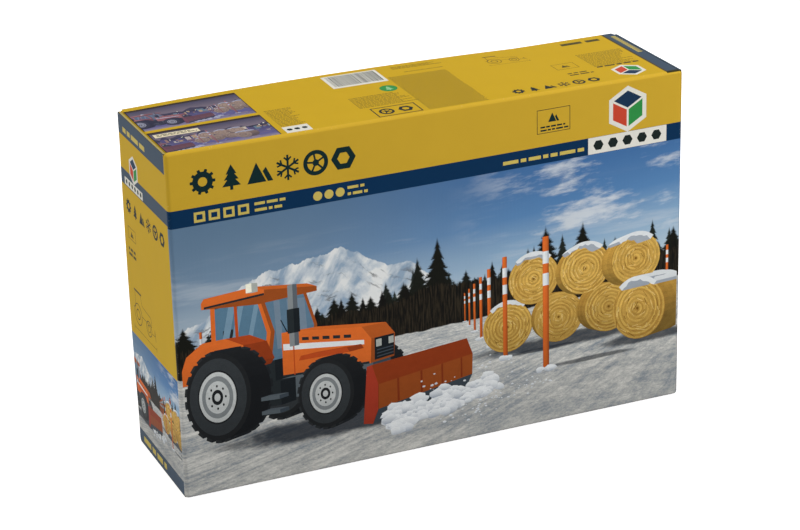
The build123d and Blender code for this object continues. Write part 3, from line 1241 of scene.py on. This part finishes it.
def bar_code(sheet, left, top, right, bottom, seed):
    """Stripes of no meaning on a white label."""
    draw = random.Random(seed)
    sheet.box(left, top, right, bottom, EMBLEM_WHITE)
    x = left + 3
    while x < right - 3:
        wide = draw.choice((0.35, 0.35, 0.7, 1.05))
        sheet.box(x, top + 1.6, min(x + wide, right - 2.6), bottom - 3.4, DARK_MARK)
        x += wide + draw.choice((0.4, 0.7, 1.0))


def elevation(sheet, left, ground, unit, colour):
    """A line drawing of the tractor from its side, with a dimension line under it."""
    rear, ahead = -1.1, 3.9
    line = 0.045 * unit

    def stroke(width, *points):
        sheet.stroke([(left + (x - rear) * unit, ground - z * unit) for x, z in points], width, colour)

    for x, r in (REAR_WHEEL, FRONT_WHEEL):
        middle = left + (x - rear) * unit, ground - r * unit
        sheet.ring(*middle, r * unit, (r - 0.07) * unit, colour, 24)
        sheet.ring(*middle, r * unit * 0.5, r * unit * 0.4, colour, 16)
    stroke(line, (0.85, 0.98), *HOOD[1:5], *CAB[2:], CAB[0], (-1.0, 1.15))
    stroke(line * 3, (-0.68, 2.68), (0.95, 2.68))
    stroke(line, (3.1, 0.5), (3.7, 0.5), (3.7, 1.0), (3.85, 0.1))
    for x in (rear, ahead):
        stroke(line, (x, -0.25), (x, -0.65))
    stroke(line * 0.8, (rear, -0.45), (ahead, -0.45))


def same_tint(colour):
    return colour


def dusk_tint(colour):
    """Violet half-tones, as in a picture taken at nightfall."""
    grey = sum(colour) / 3
    return tuple(0.34 * c + grey * share + base for c, share, base in
                 zip(colour, (0.22, 0.22, 0.34), (0.012, 0.012, 0.035)))


def print_front(side, material):
    """The band's signs, emblem and small boxes, and the picture's subject."""
    marks = Sheet(bend=lambda x, y: (x, y - print_rise(x)))
    glyph_row(marks, 17.6, 25.5, 148, 9.9, DARK_TEXT)
    marks.frame(298, 14.8, 326.4, 34.1, 0.45, DARK_TEXT)
    glyph_peaks(marks, 312.2, 21.8, 4.6, DARK_TEXT)
    words(marks, 301, 28.4, 325.5, 2, 2.6, 1.3, DARK_TEXT, 3)
    emblem(marks, 376.4, 26.0, 18.8)
    label(marks, 342, 44.7, 410.8, 58.2)
    for k in range(4):
        marks.box(19.3 + 11.4 * k, 48.2, 28 + 11.4 * k, 56.2, YELLOW_MARK)
        marks.box(21.3 + 11.4 * k, 50.2, 26 + 11.4 * k, 54.2, NAVY)
    words(marks, 66.5, 48.4, 96, 2, 5.0, 2.2, YELLOW_MARK, 5)
    for k in range(3):
        marks.disc(116.5 + 9 * k, 52, 3.6, YELLOW_MARK)
    words(marks, 140.5, 48.4, 158, 2, 5.0, 2.2, YELLOW_MARK, 6)
    words(marks, 269, 51.3, 345, 1, 4.0, 2.9, YELLOW_MARK, 8)
    side.lay(marks, "front_band_print", material)

    sheet = Sheet(rectangle(FOLD, PICTURE_TOP, LENGTH - FOLD, HEIGHT - FOLD))
    draw_scene(View(sheet, lambda x, y: (x, y + PICTURE_TOP - print_rise(x)), same_tint, fine=True))
    side.lay(sheet, "front_picture_print", material)


# The two small pictures on the upper wall: left, top, right, bottom and how far the view is moved
SMALL_PICTURES = ((2.4, 10.8, 90.7, 57.8, -20.0), (2.4, 66.6, 90.7, 109.6, -150.0))
DUSK_SKY = ink(0x403D57)
DUSK_GLOW = ink(0x7C707C)
DUSK_HILL = ink(0x2B2940)
DUSK_YARD = ink(0x5A5685)
DUSK_NEAR = ink(0x9B9297)
DUSK_BORDER = ink(0x2A2018)
DUSK_TOWN = [ink(code) for code in (0x7A5E58, 0xA88F74, 0x4A4672, 0x2E2B47, 0xBDB4A8, 0x8C6F6A, 0x5E7486)]


def draw_dusk(sheet, left, top, right, bottom, seed):
    """The evening behind a small picture: a dim sky, far hills, a lit yard and lamps."""
    draw = random.Random(seed)
    skyline = top + (bottom - top) * 0.44

    def fade(upper, lower, start, end):
        return lambda _, y: mixed(upper, lower, min(1.0, max(0.0, (y - start) / (end - start))))

    sheet.grain = DUSK_GRAIN
    sheet.box(left, top, right, skyline, fade(DUSK_SKY, DUSK_GLOW, top, skyline))
    steps = 22
    for depth in range(2):
        ridge = [(left + (right - left) * k / steps, skyline - draw.uniform(1.0, 6.0) * (1.6 - depth))
                 for k in range(steps + 1)]
        tone = mixed(DUSK_SKY, DUSK_HILL, 0.4 + 0.6 * depth)
        sheet.polygon([*ridge, (right, skyline + 0.5), (left, skyline + 0.5)], tone)
    sheet.box(left, skyline, right, bottom, fade(DUSK_HILL, DUSK_YARD, skyline - 6, skyline + 14))
    sheet.box(left, bottom - 6, right, bottom, fade(DUSK_YARD, DUSK_NEAR, bottom - 6, bottom + 2))
    for _ in range(14):
        x, y = draw.uniform(left + 2, right - 2), skyline - draw.uniform(-1.0, 5.0)
        sheet.disc(x, y, draw.uniform(0.35, 0.8), LAMP, 8)
    for _ in range(46):
        x, wide = draw.uniform(left, right), draw.uniform(0.8, 5.0)
        foot = skyline + draw.uniform(0.5, 7.0)
        sheet.box(x, foot - draw.uniform(1.0, 7.5), x + wide, foot, draw.choice(DUSK_TOWN))
    for _ in range(60):
        x, y = draw.uniform(left, right), draw.uniform(skyline + 4, bottom)
        wide, high = draw.uniform(0.5, 7), draw.uniform(0.25, 1.1)
        sheet.box(x, y, x + wide, y + high, mixed(DUSK_YARD, draw.choice(DUSK_TOWN), 0.6))


def print_top(side, material):
    """The upper wall's lists, bar code, boxes and small pictures."""
    sheet = Sheet()
    words(sheet, 96.5, 58, 119, 15, 2.6, 0.75, TEXT_MARK, 21)
    label(sheet, 96, 97, 116.2, 110.2, 3)
    bar_code(sheet, 163, 5.7, 209, 34.6, 4)
    sheet.disc(201.7, 51, 7, EMBLEM_GREEN)
    glyph_conifer(sheet, 201.7, 51, 4.4, PALE_GREEN)
    words(sheet, 164, 61, 214, 10, 2.5, 0.8, TEXT_MARK, 22)
    sheet.frame(170, 88.7, 206, 108.5, 1.0, DARK_MARK)
    glyph_wheel(sheet, 180, 98.6, 6, DARK_MARK)
    glyph_nut(sheet, 195.5, 98.6, 6, DARK_MARK)
    words(sheet, 211, 28.3, 260.5, 46, 1.76, 0.62, TEXT_MARK, 23, ragged=0.02)
    words(sheet, 222, 6.4, 268, 3, 2.2, 0.8, TEXT_MARK, 24)
    words(sheet, 228, 20.4, 266, 1, 2.2, 0.8, TEXT_MARK, 25)
    elevation(sheet, 296, 31.5, 6.9, DARK_MARK)
    sheet.frame(338.6, 54.4, 357.6, 68, 0.4, TEXT_MARK)
    glyph_peaks(sheet, 348, 61, 3.6, TEXT_MARK)
    words(sheet, 341, 79, 362, 2, 4.2, 2.0, TEXT_MARK, 26)
    glyph_row(sheet, 283, 101.4, 358, 5.2, DARK_MARK)
    words(sheet, 369.8, 8, 412, 1, 6, 5.2, TEXT_MARK, 27)
    words(sheet, 368, 40, 409, 14, 2.5, 0.75, TEXT_MARK, 28)
    emblem(sheet, 388, 92.3, 13.8, upside=-1)
    words(sheet, 369, 74.2, 408, 1, 3, 2.2, DARK_MARK, 29, ragged=0.02)
    for k in range(16):
        sheet.box(416.4, 8 + 3.0 * k, 420.6, 9.9 + 3.0 * k, YELLOW_MARK)
    side.lay(sheet, "top_print", material)
    for k, picture in enumerate(SMALL_PICTURES):
        print_small_picture(side, material, k, *picture)


def print_small_picture(side, material, k, left, top, right, bottom, shift):
    """A picture at dusk with a dark border. The second one has a pale caption."""
    unit = (right - left) / 330
    over, beside = top - 3.8, right + 0.8
    picture = Sheet(rectangle(left, over, beside, bottom))
    draw_dusk(picture, left, top, right, bottom, 61 + k)
    draw_scene(View(picture, lambda x, y: (left + (x + shift) * unit, top + (y - 22) * unit), dusk_tint))
    picture.grain = FLAT
    picture.box(left, over, beside, top, DUSK_BORDER)
    picture.box(right, top, beside, bottom, DUSK_BORDER)
    picture.box(left, top, left + 0.9, bottom, DUSK_BORDER)
    if k == 1:
        picture.box(left + 3, top + 2, left + 38, top + 9.5, mixed(LAMP, YELLOW, 0.35))
        words(picture, left + 5, top + 3.6, left + 37, 2, 2.4, 1.2, DARK_MARK, 63)
    side.lay(picture, f"top_small_picture_{k + 1}", material)


def print_end(side, name, material, left, right):
    """One end wall: emblem, signs, a line drawing, and the picture's subject from left to right."""
    sheet = Sheet()
    words(sheet, 10.6, 9.8, 74, 1, 5, 4.0, YELLOW_MARK, 41)
    emblem(sheet, 31.8, 38.6, 11.6)
    label(sheet, 8.5, 50, 52, 56.2, 6)
    glyph_row(sheet, 8.5, 72.6, 99.9, 6.0, DARK_MARK)
    sheet.frame(9.6, 90, 27.6, 99.7, 0.4, TEXT_MARK)
    glyph_peaks(sheet, 18.6, 94.9, 3.2, TEXT_MARK)
    words(sheet, 8.5, 107.5, 30, 2, 4.2, 2.4, TEXT_MARK, 42)
    elevation(sheet, 10, 169, 10.6, TEXT_MARK)
    words(sheet, 10.6, 269, 68, 1, 6, 5.0, YELLOW_MARK, 43)
    side.lay(sheet, name + "_print", material)

    top, bottom = END_PICTURE
    unit = (bottom - top) / PICTURE_HEIGHT
    picture = Sheet(rectangle(left, top, right, bottom))
    draw_scene(View(picture, lambda x, y: ((x - END_VIEW_LEFT) * unit, top + y * unit), same_tint))
    side.lay(picture, name + "_picture_print", material)


def print_carton():
    """Prints the four sides, each from its upper left corner along its directions right and down."""
    material = marks_material()
    half = LENGTH / 2
    rim_left, front_left = (-half, RIM_Y, HEIGHT), (-half, FRONT_Y, HEIGHT)
    front_right = (half, FRONT_Y, HEIGHT)
    east, north, south, down = (1, 0, 0), (0, 1, 0), (0, -1, 0), (0, 0, -1)
    front = Side("lid_front_panel", "printed_front", front_left, east, down)
    top = Side("lid_top_wall", "printed_yellow", rim_left, east, south)
    left = Side("lid_left_end_wall", "printed_yellow", rim_left, south, down)
    right = Side("lid_right_end_wall", "printed_yellow", front_right, north, down)
    print_front(front, material)
    print_top(top, material)
    print_end(left, "left_end", material, RIM_MARGIN, DEPTH - WRAP)
    print_end(right, "right_end", material, WRAP, DEPTH - RIM_MARGIN)


# The cut edge of the board, in millimetres: thickness of a liner and of the fluted paper between
# the liners, how far they stand out of the cut, and how deep they go
LINER = 0.25
MEDIUM = 0.18
CUT_PROUD = 0.12
CUT_SUNK = 0.05

# What a rounded corner takes off a cut edge's length, and what is left free at each of its ends
CUT_ROUND = 2.7
CUT_MARGIN = 0.1

# Steps along a cut edge: of a straight layer, of the paper along a flute, and across one flute
CUT_STEP = 5.0
ALONG_STEP = 1.5
STEPS_A_FLUTE = 8

# How far the paper wanders where the cut runs along a flute: slowly, and less in short bends
WANDER = 0.2
WANDER_LENGTH = 9
BEND = 0.1
BEND_LENGTH = 2.3

# The film that closes over a cut: half of its thickness, and how far it laps down inside
FILM = 0.03
FILM_LAP = 1.4

PAPER_TONES = (0x85693F, 0xA58653, 0xB89F6E)
YELLOW_TONES = (0xA3914F, 0xB6A563, 0xC6B77B)
SLATE_TONES = (0x3F4B58, 0x4C5968, 0x5D6976)


def cut_edges():
    """Every cut edge: wall, the wall's outward direction, the direction along the cut and the one
    it faces, whether it crosses the flutes, and the lengths left out at its start and its end.

    The flutes run across the long side, so the cuts along x and along y cross them.
    """
    x, y, z = (Vector(axis) for axis in ((1, 0, 0), (0, 1, 0), (0, 0, 1)))
    for half, rim, ends in (("lid", y, (0, CUT_ROUND)), ("tray", -y, (CUT_ROUND, 0))):
        yield f"{half}_top_wall", z, x, rim, True, (0, 0)
        yield f"{half}_bottom_wall", -z, x, rim, True, (0, 0)
        for side, out in (("left", -x), ("right", x)):
            wall = f"{half}_{side}_end_wall"
            yield wall, out, z, rim, False, (CUT_ROUND, CUT_ROUND)
            for facing in (z, -z):
                yield wall, out, y, facing, True, ends


def add_cut_edge(wall, out, along, facing, waved, left_out, material, closed):
    """The two liners and the fluted paper between them, where a wall of the board was cut, or the
    film where the print closes over the cut and laps down inside."""
    low, high = (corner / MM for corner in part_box(wall))
    start = low.dot(along) + left_out[0] + CUT_MARGIN
    end = high.dot(along) - left_out[1] - CUT_MARGIN
    tree = surface_tree(wall)

    def outer_place(distance):
        """Where the wall's outer face meets the cut, that far along it."""
        spot = [distance if along[i] else (high[i] if facing[i] + out[i] > 0 else low[i]) for i in range(3)]
        spot = Vector(spot) - facing * PROBE_INSIDE
        hit = tree.ray_cast((spot + out * PROBE_FROM) * MM, -out)[0]
        return hit / MM + facing * PROBE_INSIDE

    def fluted(distance):
        """How deep under the outer face the middle of the fluted paper lies."""
        if waved:
            reach = BOARD / 2 - LINER - MEDIUM / 2
            return BOARD / 2 + reach * math.sin(2 * math.pi * distance / FLUTE_PITCH)
        slow = WANDER * math.sin(distance / WANDER_LENGTH + out.x)
        return BOARD / 2 + slow + BEND * math.sin(distance / BEND_LENGTH)

    # Layers: depth of the middle, if it isn't fluted, half the thickness, step and how deep it goes
    if closed:
        layers = ((BOARD / 2, BOARD / 2, CUT_STEP, CUT_SUNK), (BOARD + FILM, FILM, CUT_STEP, FILM_LAP))
    else:
        layers = (
            (LINER / 2, LINER / 2, CUT_STEP, CUT_SUNK),
            (None, MEDIUM / 2, FLUTE_PITCH / STEPS_A_FLUTE if waved else ALONG_STEP, CUT_SUNK),
            (BOARD - LINER / 2, LINER / 2, CUT_STEP, CUT_SUNK),
        )
    corners, faces = [], []
    for middle, half, step, sunk in layers:
        first, steps = len(corners), int((end - start) / step)
        for k in range(steps + 1):
            distance = start + (end - start) * k / steps
            edge = outer_place(distance)
            centre = fluted(distance) if middle is None else middle
            for depth in (centre - half, centre + half):
                corners += [(edge - out * depth + facing * proud) * MM for proud in (-sunk, CUT_PROUD)]
        last = first + 4 * steps
        for a in range(first, last, 4):
            faces += [(a, a + 1, a + 5, a + 4), (a + 1, a + 3, a + 7, a + 5), (a + 3, a + 2, a + 6, a + 7)]
        faces += [(first, first + 2, first + 3, first + 1), (last, last + 1, last + 3, last + 2)]
    if out.cross(along).dot(facing) < 0:
        faces = [face[::-1] for face in faces]
    side = "rim" if facing.y else ("upper" if facing.z > 0 else "lower")
    name = f"{wall}_{side}_cut"
    mesh = bpy.data.meshes.new(name)
    mesh.from_pydata(corners, [], faces)
    mesh.materials.append(material)
    piece = add_object(name, mesh)
    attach(piece, wall.split("_")[0])


def cut_carton():
    """The print closes over the upper and lower cuts of the lid's end walls."""
    paper = cut_material("cut_paper", *PAPER_TONES)
    printed = {
        "lid_left_end_wall": cut_material("yellow_film", *YELLOW_TONES),
        "lid_right_end_wall": cut_material("slate_film", *SLATE_TONES),
    }
    for edge in cut_edges():
        wall, facing = edge[0], edge[3]
        closed = wall in printed and facing.z != 0
        add_cut_edge(*edge, printed[wall] if closed else paper, closed)


def add_camera():
    """A camera that looks at the carton's front from the photo's side."""
    azimuth, elevation, roll = CAMERA_AZIMUTH, CAMERA_ELEVATION, CAMERA_ROLL
    back = Vector((
        math.sin(azimuth) * math.cos(elevation),
        -math.cos(azimuth) * math.cos(elevation),
        math.sin(elevation),
    ))
    level = Vector((math.cos(azimuth), math.sin(azimuth), 0))
    upright = back.cross(level)
    right = math.cos(roll) * level + math.sin(roll) * upright
    up = math.cos(roll) * upright - math.sin(roll) * level
    camera = bpy.data.cameras.new("camera")
    camera.sensor_width = SENSOR_MM
    camera.lens = FOCAL_PX / FRAME_PX * SENSOR_MM
    camera.clip_start = NEAREST_SEEN
    camera.clip_end = FARTHEST_SEEN
    holder = add_object("camera", camera)
    turned = Matrix((right, up, back)).transposed().to_4x4()
    holder.matrix_world = Matrix.Translation(CAMERA_PLACE) @ turned
    bpy.context.scene.camera = holder


# Softboxes, in metres: name, place, height that it aims at over the origin, size and watts
SOFTBOXES = (
    ("key", (1.4, -1.02, 1.12), 0.12, 1.0, 22.2),
    ("fill", (-2.4, 0.15, 1.8), 0.12, 1.6, 20.5),
    ("top", (0.3, 0.4, 2.4), 0.1, 2.0, 15.5),
)

# The room's light, the floor's tone and glow, its size and how far it lies under the carton
ROOM_LIGHT = 0.36
FLOOR_TONE = 0.82
FLOOR_GLOW = 0.74
FLOOR_SIZE = 12
FLOOR_DROP = 0.0002


def seen_directly(paint):
    """1 for rays from the camera, and for those that a gloss or a glass sends on."""
    rays = paint.node("LightPath")
    return most(*(Value(paint, rays, f"Is {kind} Ray") for kind in ("Camera", "Glossy", "Transmission")))


def add_studio():
    """A pale floor and a white room. Both show white, and the floor keeps the carton's shadow."""
    paint = Paint("studio", bpy.data.worlds.new("studio"))
    bpy.context.scene.world = paint.material
    room, white = (
        paint.node("Background", {"Color": (1, 1, 1), "Strength": strength})
        for strength in (ROOM_LIGHT, 1.0)
    )
    paint.node("OutputWorld", {0: paint.node("MixShader", {0: seen_directly(paint), 1: room, 2: white})})

    paint = Paint("studio_floor")
    diffuse = paint.node("BsdfDiffuse", {"Color": (FLOOR_TONE, FLOOR_TONE, FLOOR_TONE)})
    glow, dark = (paint.node("Emission", {"Strength": strength}) for strength in (FLOOR_GLOW, 0))
    shown = paint.node("MixShader", {0: seen_directly(paint), 1: dark, 2: glow})
    paint.node("OutputMaterial", {0: paint.node("AddShader", {0: diffuse, 1: shown})})
    bpy.ops.mesh.primitive_plane_add(size=FLOOR_SIZE, location=(0, 0, -FLOOR_DROP))
    floor = bpy.context.object
    floor.name = "studio_floor"
    floor.data.materials.append(paint.material)
    for name, place, aim, size, watts in SOFTBOXES:
        lamp = bpy.data.lights.new(name, "AREA")
        lamp.shape = "RECTANGLE"
        lamp.size = lamp.size_y = size
        lamp.energy = watts
        holder = add_object(name, lamp)
        holder.location = place
        holder.rotation_euler = (Vector((0, 0, aim)) - Vector(place)).to_track_quat("-Z", "Y").to_euler()


bpy.context.scene.view_settings.view_transform = "Standard"
dress_carton()
print_carton()
cut_carton()
add_studio()
add_camera()
